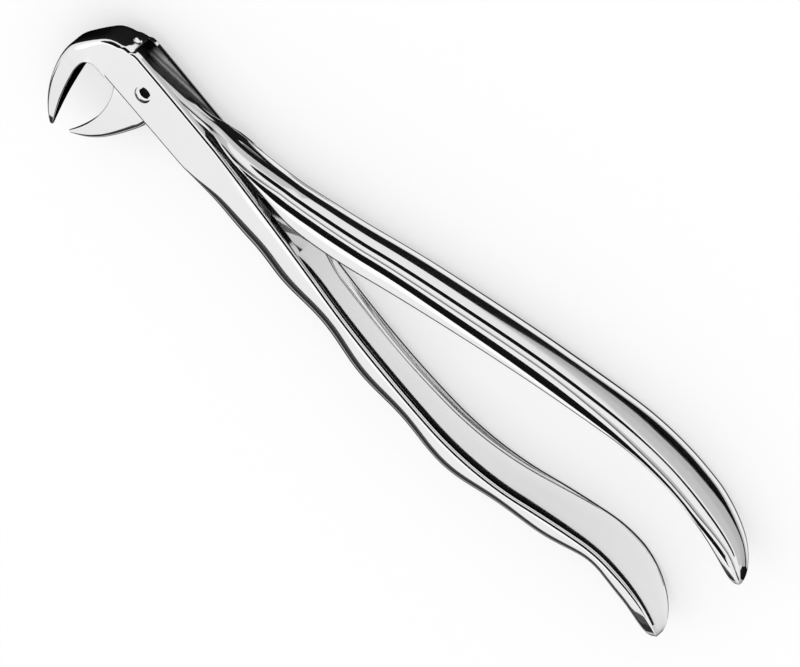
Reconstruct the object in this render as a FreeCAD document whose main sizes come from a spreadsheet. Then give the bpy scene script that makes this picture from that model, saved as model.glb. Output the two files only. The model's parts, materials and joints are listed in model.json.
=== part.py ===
"""Lower-molar extraction forceps with a box joint, as a parametric document.

The two levers cross in a box joint. The female lever carries the hooked beak and is
slotted right through, and the tongue of the male lever passes through that slot. One
domed rivet holds them. Each handle is lofted along a chain of tangent bends.

Frame: +X runs from the beaks to the handle ends, +Z is the rivet's axis, and the origin
is where that axis meets the flat back face of the box.
"""
import FreeCAD, Part
import math
import os
import Sketcher

# ---------------------------------------------------------------- driving sizes
# Lengths in millimetres, turns in degrees (positive turns to the left).
SIZES = [
    # box of the joint
    ("box_thickness", 8.4, "box, front face to back face"),
    ("box_ahead", 8.8, "pivot to the end of the box on the beak side"),
    ("box_behind", 17.0, "pivot to where the shank leaves the box"),
    ("box_top", 5.8, "pivot to the box's handle-side wall, at the beak end"),
    ("box_heel", 5.35, "the same, at the shank end"),
    ("box_bottom", 5.25, "pivot to the box's beak-side wall"),
    ("box_corner", 1.5, "rounded corner of the box's end"),
    ("box_end_bow", 15.0, "radius of the bowed end face"),
    ("edge_round", 0.5, "rounding along the underside of the box"),
    ("rim_round", 1.0, "rounding along the slotted side of the box and the female rim"),
    ("seam_step", 0.02, "how far a lofted shape sits inside the box it grows from"),
    # joint
    ("tongue_thickness", 5.2, "tongue of the male lever"),
    ("tongue_round", 1.1, "rounding along the tongue's crown"),
    ("slot_play", 0.05, "running clearance on each side of the tongue"),
    ("slot_ahead", 7.9, "pivot to the slot's end wall"),
    ("window_behind", 8.2, "pivot to the end of the beak's window"),
    ("slot_reach", 48.5, "pivot to where the slot runs out in the handle"),
    ("slot_floor", 3.6, "depth of the slot's floor below the pivot, at the window"),
    ("floor_turn", 36.0, "pivot to where the slot's floor is level with it"),
    ("floor_end", 4.4, "height of the slot's floor where it has run out"),
    ("tongue_ahead", 6.2, "pivot to the toe of the tongue"),
    ("toe_height", 2.7, "pivot to the crown of the tongue, at its toe"),
    ("crown_run", 20.5, "pivot to the turn of the tongue's crown"),
    ("crown_height", 7.2, "the crown there"),
    ("crown_bow", 240.0, "hollow of the crown before that turn"),
    ("root_run", 42.0, "pivot to where the tongue ends in the handle"),
    ("root_height", 11.2, "its upper corner there"),
    ("rivet_radius", 1.5, "shank of the rivet"),
    ("rivet_play", 0.03, "running clearance of the rivet in the tongue"),
    ("head_radius", 1.95, "domed head of the rivet"),
    ("head_height", 0.95, "height of the dome over the box"),
    # hooked beak of the female lever
    ("hook_straight", 2.6, "straight start of the hook's inner edge"),
    ("hook_bend", 4.3, "inner edge round the bend"),
    ("hook_relief", 3.5, "short curve after the bend"),
    ("hook_length", 17.6, "inner edge from there to the tip"),
    ("hook_root_depth", 10.5, "hook at the box, inner edge to crown"),
    ("hook_depth", 4.6, "hook after the bend, inner edge to back"),
    ("hook_face", 7.8, "width of the inner face"),
    ("hook_tip", 0.7, "width and depth at the tip"),
    ("scoop_radius", 1.3, "round scoop where the cutter left the slot"),
    # beak of the male lever
    ("beak_bend", 5.5, "inner edge below the box"),
    ("beak_length", 16.0, "inner edge from there to the tip"),
    ("beak_root_depth", 10.2, "beak below the box, inner edge to back"),
    ("beak_tip", 0.6, "width and depth at the tip"),
    # handles: bends of their inner rims
    ("handle_length", 144.7, "female handle, along its rim from the heel of the box"),
    ("f_turn1", -4.2, "shank"),
    ("f_turn2", 8.4, "waist"),
    ("f_turn3", 22.0, "rise to the palm swell"),
    ("f_turn4", -4.3, "swell"),
    ("f_turn5", -63.6, "end curve"),
    ("stop_run", 23.0, "male lever: stop face over the box"),
    ("kick_run", 6.5, "kick out of the box"),
    ("m_turn2", 16.0, ""),
    ("shank_run", 15.0, "shank"),
    ("m_turn3", 8.3, ""),
    ("m_turn4", -6.6, "grip"),
    ("m_turn5", -22.6, "swell"),
    ("m_turn6", -42.4, "end curve"),
    # handle sections
    ("cheek_rise", 6.3, "pivot to the male lever's stop face, where it starts"),
    ("shank_width", 9.2, "handle width where it leaves the box"),
    ("grip_width", 11.2, "handle width at its waist"),
    ("swell_width", 13.6, "handle width at the swell"),
    ("shank_depth", 9.4, "female shank, rim to outer face"),
    ("waist_depth", 6.8, "handle at the waist"),
    ("f_swell_depth", 4.8, "female handle at the swell"),
    ("m_swell_depth", 1.9, "male handle at the swell"),
    ("nose_length", 19.5, "rounded end of a handle"),
    ("nose_depth", 3.0, "depth of the handle's nose"),
    ("rim_width", 0.5, "flat rim beside the hollow"),
    ("hollow_depth", 1.1, "hollow of the inner face"),
    ("rib_width", 4.4, "raised rib along the outer face"),
    ("rib_height", 0.45, "rib above the corners"),
    ("rib_crown", 0.12, "crown across the rib"),
    ("palm_round", 4.0, "rounding of the female handle's outer corners, along its depth"),
    ("palm_drop", 1.9, "the same, across its width"),
    ("grip_round", 1.8, "rounding of the male handle's outer corners, along its depth"),
    ("grip_drop", 1.3, "the same, across its width"),
    ("rim_break", 0.35, "rounding of the male rim"),
    ("flute_depth", 0.4, "hollow of the flutes beside the rib"),
    ("scallop_pitch", 25.0, "finger scallops, crest to crest"),
    ("scallop_first", 32.5, "shank start to the first crest"),
    ("scallop_height", 0.5, "half the height of a scallop"),
]


class Size:
    """A length with the sheet formula that gives it: a sum of shares of cells."""

    def __init__(self, constant=0.0, shares=None):
        self.constant = constant
        self.shares = {name: share for name, share in (shares or {}).items() if share}

    @property
    def value(self):
        return self.constant + sum(VALUE[name] * share for name, share in self.shares.items())

    @property
    def formula(self):
        terms = [f"{share:.6f} * Dims.{name}" for name, share in self.shares.items()]
        return " + ".join([f"{self.constant:.6f}"] + terms).replace("+ -", "- ")

    def __add__(self, other):
        other = sized(other)
        shares = dict(self.shares)
        for name, share in other.shares.items():
            shares[name] = shares.get(name, 0.0) + share
        return Size(self.constant + other.constant, shares)

    def __mul__(self, factor):
        shares = {name: share * factor for name, share in self.shares.items()}
        return Size(self.constant * factor, shares)

    def __neg__(self):
        return self * -1.0

    def __sub__(self, other):
        return self + -sized(other)

    def __rsub__(self, other):
        return sized(other) - self

    def __truediv__(self, divisor):
        return self * (1.0 / divisor)

    __radd__ = __add__
    __rmul__ = __mul__


def sized(number):
    """Any number as a Size."""
    return number if isinstance(number, Size) else Size(float(number))


VALUE = {name: value for name, value, _ in SIZES}
DIM = {name: Size(0.0, {name: 1.0}) for name in VALUE}
DOC = FreeCAD.newDocument("ExtractionForceps")
SHEET = DOC.addObject("Spreadsheet::Sheet", "Dims")
for row, (name, value, note) in enumerate(SIZES, start=1):
    SHEET.set(f"A{row}", name)
    SHEET.set(f"B{row}", str(value))
    SHEET.set(f"C{row}", note)
    SHEET.setAlias(f"B{row}", name)
DOC.recompute()


# ---------------------------------------------------------------- drawing helpers
def plane(body, role):
    """One of the body's own origin planes."""
    return next(item for item in body.Origin.OriginFeatures if item.Role == role)


def attach(item, body, role, offset=None):
    """Sets a sketch or a primitive on one of its body's origin planes."""
    item.AttachmentSupport = [(plane(body, role), "")]
    item.MapMode = "FlatFace"
    if offset:
        item.AttachmentOffset = offset


def bind(item, name, size):
    """Sets a property and ties it to the sheet."""
    size = sized(size)
    setattr(item, name, size.value)
    item.setExpression(name, size.formula)


def bowed_edge(start, end, radius):
    """The short arc between two points. It bulges to the left of the way for a positive
    radius. Arcs run anticlockwise, so the pair tells which of its ends comes first."""
    chord = end - start
    half = chord.Length / 2
    size = max(abs(radius), half * 1.0001)
    way = 1 if radius > 0 else -1
    left = FreeCAD.Vector(-chord.y, chord.x, 0).normalize()
    centre = (start + end) / 2 - left * way * math.sqrt(size * size - half * half)
    first, last = (end, start) if radius > 0 else (start, end)
    angles = [math.atan2(point.y - centre.y, point.x - centre.x) for point in (first, last)]
    circle = Part.Circle(centre, FreeCAD.Vector(0, 0, 1), size)
    return Part.ArcOfCircle(circle, *angles), ((2, 1) if radius > 0 else (1, 2))


def draw(body, name, role, corners, arcs=None, offset=None):
    """A closed sketch. corners are pairs of sizes; arcs gives the bowed edges by the
    number of their first corner: a radius, positive to bulge left of the way round."""
    arcs = arcs or {}
    sketch = body.newObject("Sketcher::SketchObject", name)
    attach(sketch, body, role, offset)
    corners = [(sized(x), sized(y)) for x, y in corners]
    points = [FreeCAD.Vector(x.value, y.value, 0) for x, y in corners]
    edges = []
    ends = []
    for index, start in enumerate(points):
        end = points[(index + 1) % len(points)]
        if index in arcs:
            edge, order = bowed_edge(start, end, sized(arcs[index]).value)
        else:
            edge, order = Part.LineSegment(start, end), (1, 2)
        edges.append(edge)
        ends.append(order)
    sketch.addGeometry(edges, False)
    rules = []
    bound = []
    for index, (x, y) in enumerate(corners):
        after = (index + 1) % len(corners)
        first, last = ends[index]
        rules.append(Sketcher.Constraint("Coincident", index, last, after, ends[after][0]))
        for kind, axis, size in (("DistanceX", -2, x), ("DistanceY", -1, y)):
            if size.value == 0 and not size.shares:
                rules.append(Sketcher.Constraint("PointOnObject", index, first, axis))
            else:
                bound.append((len(rules), size))
                rules.append(Sketcher.Constraint(kind, -1, 1, index, first, size.value))
        if index in arcs:
            radius = sized(arcs[index])
            radius = radius if radius.value > 0 else -radius
            if abs(edges[index].Radius - radius.value) < 1e-6:
                bound.append((len(rules), radius))
            rules.append(Sketcher.Constraint("Radius", index, edges[index].Radius))
    sketch.addConstraint(rules)
    for number, size in bound:
        if size.shares:
            sketch.setExpression(f"Constraints[{number}]", size.formula)
    return sketch


def pad(body, name, sketch, thickness):
    """A pad of a full thickness, half on each side of the middle plane."""
    feature = body.newObject("PartDesign::Pad", name)
    feature.Profile = sketch
    feature.SideType = "Symmetric"
    bind(feature, "Length", thickness)
    return feature


def pocket(body, name, sketch, thickness):
    """A pocket of a full thickness, half on each side of the sketch."""
    feature = body.newObject("PartDesign::Pocket", name)
    feature.Profile = sketch
    feature.SideType = "Symmetric"
    bind(feature, "Length", thickness)
    return feature


def loft(body, name, sketches):
    """A smooth loft through a row of sections."""
    feature = body.newObject("PartDesign::AdditiveLoft", name)
    feature.Profile = sketches[0]
    feature.Sections = sketches[1:]
    feature.Ruled = False
    return feature


def lever_body(name):
    """A body whose middle plane lies half the box's thickness above the back face."""
    body = DOC.addObject("PartDesign::Body", name)
    body.Label = name
    body.setExpression("Placement.Base.z", (DIM["box_thickness"] / 2).formula)
    return body


class Chain:
    """A line in the middle plane made of tangent arcs, each a length and a turn."""

    def __init__(self, x, y, heading, bends):
        self.start = (x, y, math.radians(heading))
        self.bends = [(run.value, math.radians(DIM[turn].value if turn in DIM else turn))
                      for run, turn in bends]
        self.length = sum(run for run, _ in self.bends)

    def at(self, distance):
        """Position and heading at a distance along the line."""
        x, y, heading = self.start
        for number, (run, turn) in enumerate(self.bends):
            last = number == len(self.bends) - 1
            step = distance if last else min(distance, run)
            swing = turn * step / run
            chord = step if abs(swing) < 1e-9 else 2 * step / swing * math.sin(swing / 2)
            x += chord * math.cos(heading + swing / 2)
            y += chord * math.sin(heading + swing / 2)
            heading += swing
            distance -= step
            if distance <= 1e-9:
                break
        return x, y, heading

    def frame(self, distance):
        """Offset that stands a sketch of the YZ plane square across the line: its first
        axis points to the left of the way, its second up the rivet."""
        x, y, heading = self.at(distance)
        turn = FreeCAD.Rotation(FreeCAD.Vector(0, 1, 0), math.degrees(heading))
        return FreeCAD.Placement(FreeCAD.Vector(y, 0, x), turn)


def law(distance, knots):
    """A smooth course through (distance, size) knots, level beyond both ends."""
    knots = [(place, sized(size)) for place, size in knots]
    if distance <= knots[0][0]:
        return knots[0][1]
    for index in range(len(knots) - 1):
        (a, low), (b, high) = knots[index], knots[index + 1]
        if distance <= b:
            part = (distance - a) / (b - a)
            before = knots[max(index - 1, 0)]
            after = knots[min(index + 2, len(knots) - 1)]
            rise_a = (high - before[1]) * ((b - a) / (b - before[0]))
            rise_b = (after[1] - low) * ((b - a) / (after[0] - a))
            return (low * (2 * part ** 3 - 3 * part ** 2 + 1)
                    + rise_a * (part ** 3 - 2 * part ** 2 + part)
                    + high * (3 * part ** 2 - 2 * part ** 3)
                    + rise_b * (part ** 3 - part ** 2))
    return knots[-1][1]


def sagitta_radius(start, end, sagitta):
    """Radius of the arc between two (u, v) points with a given rise."""
    half = math.hypot(end[0] - start[0], end[1] - start[1]) / 2
    return (half * half + sagitta * sagitta) / (2 * sagitta)


# ---------------------------------------------------------------- handle section
def handle_section(body, name, chain, distance, side, shape):
    """One section of a handle. side is -1 where the outer face lies to the right of the
    chain, +1 where it lies to the left. Depth u is measured from the inner rim outward,
    v up the rivet's axis."""
    half = shape["width"] / 2
    depth = shape["depth"]
    rise = shape["rise"]
    small = shape["edge"] if shape["edge"].value < 0.2 * depth.value else depth * 0.2
    corner_u = shape["corner_u"]
    corner_v = shape["corner_v"]
    rib = shape["rib"] / 2
    crown = depth + shape["rib_height"]
    hollow = half - small - shape["rim"]
    upper = [(0.0, half - small), (small, half), (depth - corner_u, half),
             (depth, half - corner_v), (crown, rib)]
    ring = upper + [(u, -v) for u, v in reversed(upper)] + [(0.0, -hollow), (0.0, hollow)]
    ring = [(sized(u) + rise, sized(v)) for u, v in ring]
    flat = [(u.value, v.value) for u, v in ring]
    run, drop = corner_u.value, corner_v.value
    corner = (run ** 2 + drop ** 2) / (2 * min(run, drop))
    bows = {0: small.value, 2: corner, 6: corner, 8: small.value}
    if shape["flute"] > 0.02:
        bows[3] = -sagitta_radius(flat[3], flat[4], shape["flute"])
        bows[5] = -sagitta_radius(flat[5], flat[6], shape["flute"])
    if shape["rib_crown"] > 0.01:
        bows[4] = sagitta_radius(flat[4], flat[5], shape["rib_crown"])
    if shape["hollow"] > 0.02:
        bows[10] = -sagitta_radius(flat[10], flat[11], shape["hollow"])
    arcs = {index: radius * side for index, radius in bows.items()}
    corners = [(u * side, v) for u, v in ring]
    return draw(body, name, "YZ_Plane", corners, arcs, chain.frame(distance))


def handle(body, chain, side, stations, shape_at):
    """A handle lofted through sections at the given stations."""
    sketches = [handle_section(body, f"HandleSection{number}", chain, place, side, shape_at(place))
                for number, place in enumerate(stations)]
    return loft(body, "Handle", sketches)


NOSE_POWER = 1.4  # 2 gives an elliptical end, 1 a parabolic one


def nose_stations(length):
    """Places along a rounded end, crowding towards its tip."""
    run = DIM["nose_length"].value
    return [length - run + run * math.sin(math.radians(angle)) ** (2 / NOSE_POWER)
            for angle in (0, 25, 43, 58, 70, 79)]


def nose_share(distance, length):
    """What is left of the width at a place in the rounded end."""
    run = DIM["nose_length"].value
    into = max(0.0, distance - (length - run)) / run
    return math.sqrt(1 - into ** NOSE_POWER)


def round_nose(shape, share):
    """Shrinks a section towards the tip of the nose."""
    if share > 0.999:
        return shape
    full = shape["depth"]
    left = 1 - (1 - share) ** 2
    shape["depth"] = full * left
    shape["rise"] = (full - shape["depth"]) / 2
    for name in ("width", "rib", "rim"):
        shape[name] = shape[name] * share
    for name in ("corner_u", "corner_v"):
        shape[name] = shape[name] * min(left, share)
    for name in ("rib_height", "hollow", "flute", "rib_crown"):
        shape[name] = shape[name] * max(0.0, share * 1.5 - 0.5)
    return shape


# ---------------------------------------------------------------- female lever
FEMALE_RUNS = (0.2764, 0.2398, 0.1783, 0.1037, 0.2018)  # bends, as shares of the handle


def female_shape(distance, length):
    """Section of the female handle at a distance from the shank's start."""
    way = distance / length
    pitch = DIM["scallop_pitch"].value
    first = DIM["scallop_first"].value
    phase = 2 * math.pi * (distance - first) / pitch
    fade = law(distance, [(first * 0.63, 0.0), (first, 1.0), (length * 0.82, 1.0),
                          (length * 0.917, 0.0)])
    ripple = DIM["scallop_height"] * (math.cos(phase) * fade.value)
    depth = law(way, [
        (0, DIM["box_heel"] + DIM["box_bottom"] - DIM["seam_step"] * 2),
        (0.028, DIM["shank_depth"] + 0.9), (0.069, DIM["shank_depth"] + 0.4),
        (0.124, DIM["shank_depth"]), (0.221, DIM["shank_depth"] - 1.1),
        (0.311, DIM["waist_depth"] + 0.1), (0.401, DIM["waist_depth"] - 0.35),
        (0.484, DIM["waist_depth"] - 0.4), (0.567, DIM["f_swell_depth"] + 1),
        (0.657, DIM["f_swell_depth"] + 0.4), (0.746, DIM["f_swell_depth"]),
        (0.869, DIM["nose_depth"] + 1.2)])
    width = law(way, [
        (0, DIM["box_thickness"] - DIM["seam_step"] * 2), (0.021, DIM["box_thickness"]),
        (0.097, DIM["shank_width"]), (0.304, DIM["grip_width"] - 0.6),
        (0.456, DIM["grip_width"]), (0.691, DIM["swell_width"] - 0.4),
        (0.795, DIM["swell_width"])])
    ribbed = law(way, [(0.014, 0.0), (0.111, 1.0)]).value
    shape = {
        "depth": depth + ripple,
        "width": width,
        "rise": sized(0.0),
        "corner_u": DIM["palm_round"] * law(way, [
            (0, 0.125), (0.014, 0.175), (0.041, 0.5), (0.083, 0.9), (0.166, 1.0), (0.311, 0.925),
            (0.484, 0.825), (0.657, 0.65), (1, 0.5)]).value,
        "corner_v": DIM["palm_drop"] * law(way, [
            (0, 0.26), (0.041, 0.53), (0.097, 0.9), (0.276, 1.0)]).value,
        "rib": DIM["rib_width"] * law(way, [
            (0, 0.75), (0.207, 0.9), (0.415, 1.0), (0.691, 1.2)]).value,
        "rib_height": DIM["rib_height"] * ribbed,
        "edge": DIM["rim_round"],
        "rim": DIM["rim_width"],
        "hollow": DIM["hollow_depth"].value * law(way, [
            (0.194, 0.0), (0.235, 0.3), (0.304, 1.0), (0.691, 1.0), (0.795, 0.8)]).value,
        "flute": DIM["flute_depth"].value * ribbed,
        "rib_crown": DIM["rib_crown"].value * ribbed,
    }
    return round_nose(shape, nose_share(distance, length))


def beak_section(body, name, chain, distance, side, shape):
    """One section across a beak: a flat inner face, sides flat for a share of the depth,
    then rounded over to a narrower back. side is as for a handle."""
    depth, face, crest = shape["depth"], shape["face"] / 2, shape["crest"] / 2
    flat, lean = shape["flat"], shape["lean"]
    shoulder = face - (face - crest) * (flat * lean)
    upper = [(0.0, face), (depth * flat, shoulder), (depth, crest)]
    ring = [(sized(u) * side, v) for u, v in upper + [(u, -v) for u, v in reversed(upper)]]
    span = depth.value * (1 - flat)
    drop = (shoulder - crest).value
    start = math.atan2((face - shoulder).value, depth.value * flat)
    chord = math.hypot(span, drop)
    radius = chord / (2 * math.sin(math.atan2(drop, span) - start))
    arcs = {1: radius * side, 3: radius * side}
    return draw(body, name, "YZ_Plane", ring, arcs, chain.frame(distance))


def hook_shape(distance, bend_end, length):
    """Section of the hooked beak at a distance along its inner edge. The way runs from 0
    to 1 round the bend, and from 1 to 2 along the tapering rest."""
    reach = max(0.0, distance - bend_end) / (length - bend_end)
    way = min(1.0, distance / bend_end) + reach
    left = 1 - reach ** 2.5
    depth = law(way, [
        (0, DIM["hook_root_depth"]), (0.319, DIM["hook_root_depth"] - 0.5),
        (0.478, DIM["hook_depth"] + 3.6), (0.594, DIM["hook_depth"] + 1.7),
        (0.696, DIM["hook_depth"] + 0.5), (0.812, DIM["hook_depth"]),
        (1, DIM["hook_depth"])]) * left + DIM["hook_tip"] * (1 - left)
    wide = law(way, [(1, 1.0), (1.123, 0.9), (1.303, 0.75), (1.507, 0.56), (1.725, 0.33),
                     (1.915, 0.13), (2, 0.0)]).value
    face = DIM["hook_face"] * wide + DIM["hook_tip"] * (1 - wide)
    narrow = law(way, [(0, 0.97), (0.319, 0.85), (0.594, 0.62), (1, 0.5), (2, 0.6)]).value
    flat = law(way, [(0, 0.7), (0.435, 0.5), (1.05, 0.5), (1.43, 0.65), (2, 0.7)]).value
    return {"depth": depth, "face": face, "crest": face * narrow, "flat": flat, "lean": 0.35}


def female_lever():
    """Box, hooked beak, slot and scalloped handle."""
    body = lever_body("female_lever")
    end, top = -DIM["box_ahead"], DIM["box_top"]
    outline = [
        (end, top),
        (DIM["box_behind"], DIM["box_heel"]),
        (DIM["box_behind"], -DIM["box_bottom"]),
        (end + 0.5, -DIM["box_bottom"]),
    ]
    box = pad(body, "Box", draw(body, "BoxOutline", "XY_Plane", outline,
                                {3: DIM["box_end_bow"]}), DIM["box_thickness"])
    corner = fillet(body, "BoxCorner", box, DIM["box_corner"], upright_corner)
    rims = fillet(body, "RimRounding", corner, DIM["rim_round"], slotted_edge)
    fillet(body, "BoxEdges", rims, DIM["edge_round"], underside_edge)

    hook = Chain(-DIM["box_ahead"].value + 0.8, -DIM["box_bottom"].value - 0.2, 180, [
        (DIM["hook_straight"], 0.0), (DIM["hook_bend"], 88.0),
        (DIM["hook_relief"], 13.0), (DIM["hook_length"], 11.0)])
    bend_end = DIM["hook_straight"].value + DIM["hook_bend"].value
    places = [bend_end * share for share in (0, 0.29, 0.42, 0.536, 0.652, 0.768, 0.884, 1)]
    places += [bend_end + (hook.length - bend_end) * share
               for share in (0.081, 0.175, 0.313, 0.479, 0.645, 0.787, 0.905, 1)]
    loft(body, "Hook", [
        beak_section(body, f"HookSection{number}", hook, place, -1,
                     hook_shape(place, bend_end, hook.length))
        for number, place in enumerate(places)])

    chain = Chain(DIM["box_behind"].value - 1, DIM["box_heel"].value - DIM["seam_step"].value,
                  -1.9, [(DIM["handle_length"] * share, f"f_turn{number}")
                         for number, share in enumerate(FEMALE_RUNS, start=1)])
    quarter = DIM["scallop_pitch"].value / 4
    first = DIM["scallop_first"].value
    nose = nose_stations(chain.length)
    grip = [first + quarter * n for n in range(20) if first + quarter * n < nose[0] - 4]
    stations = [first * share for share in (0, 0.062, 0.138, 0.246, 0.4, 0.585, 0.8)] + grip + nose
    handle(body, chain, -1, stations, lambda place: female_shape(place, chain.length))

    above = DIM["box_top"] + 4
    below = -DIM["box_bottom"] - 3
    slot = [
        (-DIM["slot_ahead"], above),
        (-DIM["slot_ahead"] + 0.6, below),
        (DIM["window_behind"], below),
        (DIM["window_behind"] + 0.4, -DIM["slot_floor"]),
        (DIM["floor_turn"], 0.0),
        (DIM["slot_reach"] + 1.5, DIM["floor_end"]),
        (DIM["slot_reach"] + 1.5, above),
    ]
    cut = draw(body, "SlotOutline", "XY_Plane", slot)
    pocket(body, "Slot", cut, DIM["tongue_thickness"] + DIM["slot_play"] * 2)
    scoop = body.newObject("PartDesign::SubtractiveSphere", "Scoop")
    attach(scoop, body, "XY_Plane")
    bind(scoop, "Radius", DIM["scoop_radius"])
    scoop.AttachmentOffset = FreeCAD.Placement(
        FreeCAD.Vector(-DIM["slot_ahead"].value - 1.4, DIM["box_top"].value, 0),
        FreeCAD.Rotation())
    rivet_hole(body, DIM["rivet_radius"])
    return body


def fillet(body, name, base, radius, wanted):
    """Rounds the edges of a feature that the test picks out."""
    DOC.recompute()
    names = [f"Edge{number}" for number, edge in enumerate(base.Shape.Edges, start=1)
             if wanted(edge.BoundBox)]
    feature = body.newObject("PartDesign::Fillet", name)
    feature.Base = (base, names)
    bind(feature, "Radius", radius)
    return feature


def upright_corner(box):
    """The upright edge of the box at the beak end, on the handles' side."""
    return (box.ZLength > 1 and box.XMax < -DIM["box_ahead"].value + 0.1
            and box.YMin > DIM["box_top"].value - 0.1)


def slotted_edge(box):
    """The edges of the box's two flat faces on the slotted side and round the beak end."""
    return (box.ZLength < 1e-6 and box.XMin < DIM["box_behind"].value - 0.1
            and box.YMax > -DIM["box_bottom"].value + 0.1)


def underside_edge(box):
    """The two long edges of the box's underside."""
    return box.ZLength < 1e-6 and box.XLength > 5 and box.YMax < -DIM["box_bottom"].value + 0.1


def rivet_hole(body, radius):
    """A hole along the rivet's axis through the whole lever."""
    sketch = body.newObject("Sketcher::SketchObject", "RivetHoleOutline")
    attach(sketch, body, "XY_Plane")
    sketch.addGeometry(Part.Circle(FreeCAD.Vector(), FreeCAD.Vector(0, 0, 1), radius.value))
    sketch.addConstraint([Sketcher.Constraint("Coincident", 0, 3, -1, 1),
                          Sketcher.Constraint("Radius", 0, radius.value)])
    sketch.setExpression("Constraints[1]", radius.formula)
    return pocket(body, "RivetHole", sketch, DIM["box_thickness"] * 3)


# ---------------------------------------------------------------- male lever
MALE_RUNS = (0.4395, 0.1500, 0.1520)  # grip, swell and end curve, as shares of the handle


def male_shape(distance, lead, length):
    """Section of the male handle at a distance from the start of its stop face. The way
    runs from 0 to 1 over the joint and the shank, and from 1 to 2 along the grip."""
    way = min(1.0, distance / lead) + max(0.0, distance - lead) / (length - lead)
    waist = DIM["waist_depth"]
    depth = law(way, [
        (0.034, waist * 0.051), (0.067, waist * 0.088), (0.157, waist * 0.169),
        (0.247, waist * 0.243), (0.36, waist * 0.382), (0.472, waist * 0.566),
        (0.584, waist * 0.75), (0.742, waist * 0.794), (1.023, waist * 0.779),
        (1.228, waist * 0.647), (1.415, waist * 0.544), (1.545, waist * 0.412),
        (1.657, DIM["m_swell_depth"]), (1.732, DIM["m_swell_depth"] - 0.2),
        (1.832, DIM["m_swell_depth"] - 0.1), (1.925, DIM["nose_depth"])])
    slot = DIM["tongue_thickness"] + DIM["slot_play"] * 0.8
    width = law(way, [
        (0.034, slot), (0.067, slot + 0.65), (0.124, slot + 1.95), (0.202, DIM["shank_width"] - 0.9),
        (0.315, DIM["shank_width"] - 0.2), (0.697, DIM["grip_width"] - 0.8),
        (1.023, DIM["grip_width"]), (1.21, DIM["grip_width"] + 0.8),
        (1.415, DIM["swell_width"] - 0.9), (1.638, DIM["swell_width"] - 0.1),
        (1.795, DIM["swell_width"] - 0.5)])
    start = law(way, [(0, 0.0), (0.36, 1.0)]).value
    corners = []
    for corner, share in (("grip_round", 0.5), ("grip_drop", 0.8)):
        shallow = depth.value * share < DIM[corner].value
        corners.append(depth * share if shallow else DIM[corner])
    shape = {
        "depth": depth,
        "width": width,
        "rise": sized(0.0),
        "corner_u": corners[0],
        "corner_v": corners[1],
        "rib": DIM["rib_width"] * law(way, [
            (0.067, 0.6), (0.36, 0.78), (0.742, 0.88), (1.17, 1.0), (1.64, 1.2)]).value,
        "rib_height": DIM["rib_height"] * (start * 1.6 - 0.6),
        "edge": DIM["rim_break"],
        "rim": DIM["rim_width"],
        "hollow": DIM["hollow_depth"].value * law(way, [
            (0.764, 0.0), (0.9, 0.3), (1.06, 1.0), (1.45, 1.0), (1.657, 0.6)]).value,
        "flute": DIM["flute_depth"].value * law(way, [(0.09, 0.0), (0.337, 1.0)]).value,
        "rib_crown": DIM["rib_crown"].value * start,
    }
    return round_nose(shape, nose_share(distance, length))


def tongue_crown(box):
    """The long edges along the tongue's crown, where it shows in the slot."""
    return box.ZLength < 1e-6 and box.XMin < -4 and box.YMin > 2


def beak_shape(distance, length):
    """Section of the male beak at a distance along its inner edge."""
    way = distance / length
    root = DIM["beak_root_depth"]
    depth = law(way, [
        (0, root * 1.225), (0.116, root * 1.054), (0.233, root * 0.877), (0.4, root * 0.667),
        (0.558, root * 0.51), (0.67, root * 0.412), (0.814, root * 0.275), (1, DIM["beak_tip"])])
    face = law(way, [
        (0, DIM["tongue_thickness"] - DIM["seam_step"]),
        (0.279, DIM["tongue_thickness"] - 0.1), (1, DIM["beak_tip"])])
    return {"depth": depth, "face": face, "crest": face * 0.45,
            "flat": law(way, [(0, 0.88), (0.372, 0.78), (1, 0.6)]).value, "lean": 0.05}


def male_lever():
    """Tongue, lower beak and smooth handle."""
    body = lever_body("male_lever")
    toe = -DIM["tongue_ahead"]
    sole = -DIM["box_bottom"] + 0.2
    outline = [
        (toe * 0.774, DIM["toe_height"]),
        (DIM["crown_run"], DIM["crown_height"]),
        (DIM["root_run"], DIM["root_height"]),
        (DIM["root_run"], DIM["root_height"] * 0.714),
        (DIM["window_behind"] * 1.22, -DIM["slot_floor"] * 0.556),
        (DIM["window_behind"] * 0.61, sole),
        (toe, sole),
    ]
    tongue = pad(body, "Tongue", draw(body, "TongueOutline", "XY_Plane", outline,
                                      {0: -DIM["crown_bow"]}), DIM["tongue_thickness"])
    fillet(body, "TongueRounding", tongue, DIM["tongue_round"], tongue_crown)
    beak = Chain(toe.value + 0.1, sole.value - 0.55, -48,
                 [(DIM["beak_bend"], -30.0), (DIM["beak_length"], -33.0)])
    places = [beak.length * share
              for share in (0, 0.116, 0.233, 0.349, 0.465, 0.581, 0.698, 0.814, 0.916, 1)]
    loft(body, "Beak", [
        beak_section(body, f"BeakSection{number}", beak, place, 1,
                     beak_shape(place, beak.length))
        for number, place in enumerate(places)])

    grips = [(DIM["handle_length"] * share, f"m_turn{number}")
             for number, share in enumerate(MALE_RUNS, start=4)]
    chain = Chain(DIM["box_behind"].value - 3, DIM["cheek_rise"].value, 1.5,
                  [(DIM["stop_run"], 0.0), (DIM["kick_run"], "m_turn2"),
                   (DIM["shank_run"], "m_turn3"), *grips])
    lead = sum((DIM[name] for name in ("stop_run", "kick_run", "shank_run")), sized(0.0)).value
    nose = nose_stations(chain.length)
    stations = [lead * share for share in (0.034, 0.067, 0.112, 0.18, 0.258, 0.36, 0.472, 0.562,
                                           0.652, 0.742, 0.865)]
    stations += [lead + (nose[0] - lead) * number / 15 for number in range(15)] + nose
    handle(body, chain, 1, stations, lambda place: male_shape(place, lead, chain.length))
    rivet_hole(body, DIM["rivet_radius"] + DIM["rivet_play"])
    return body


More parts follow.
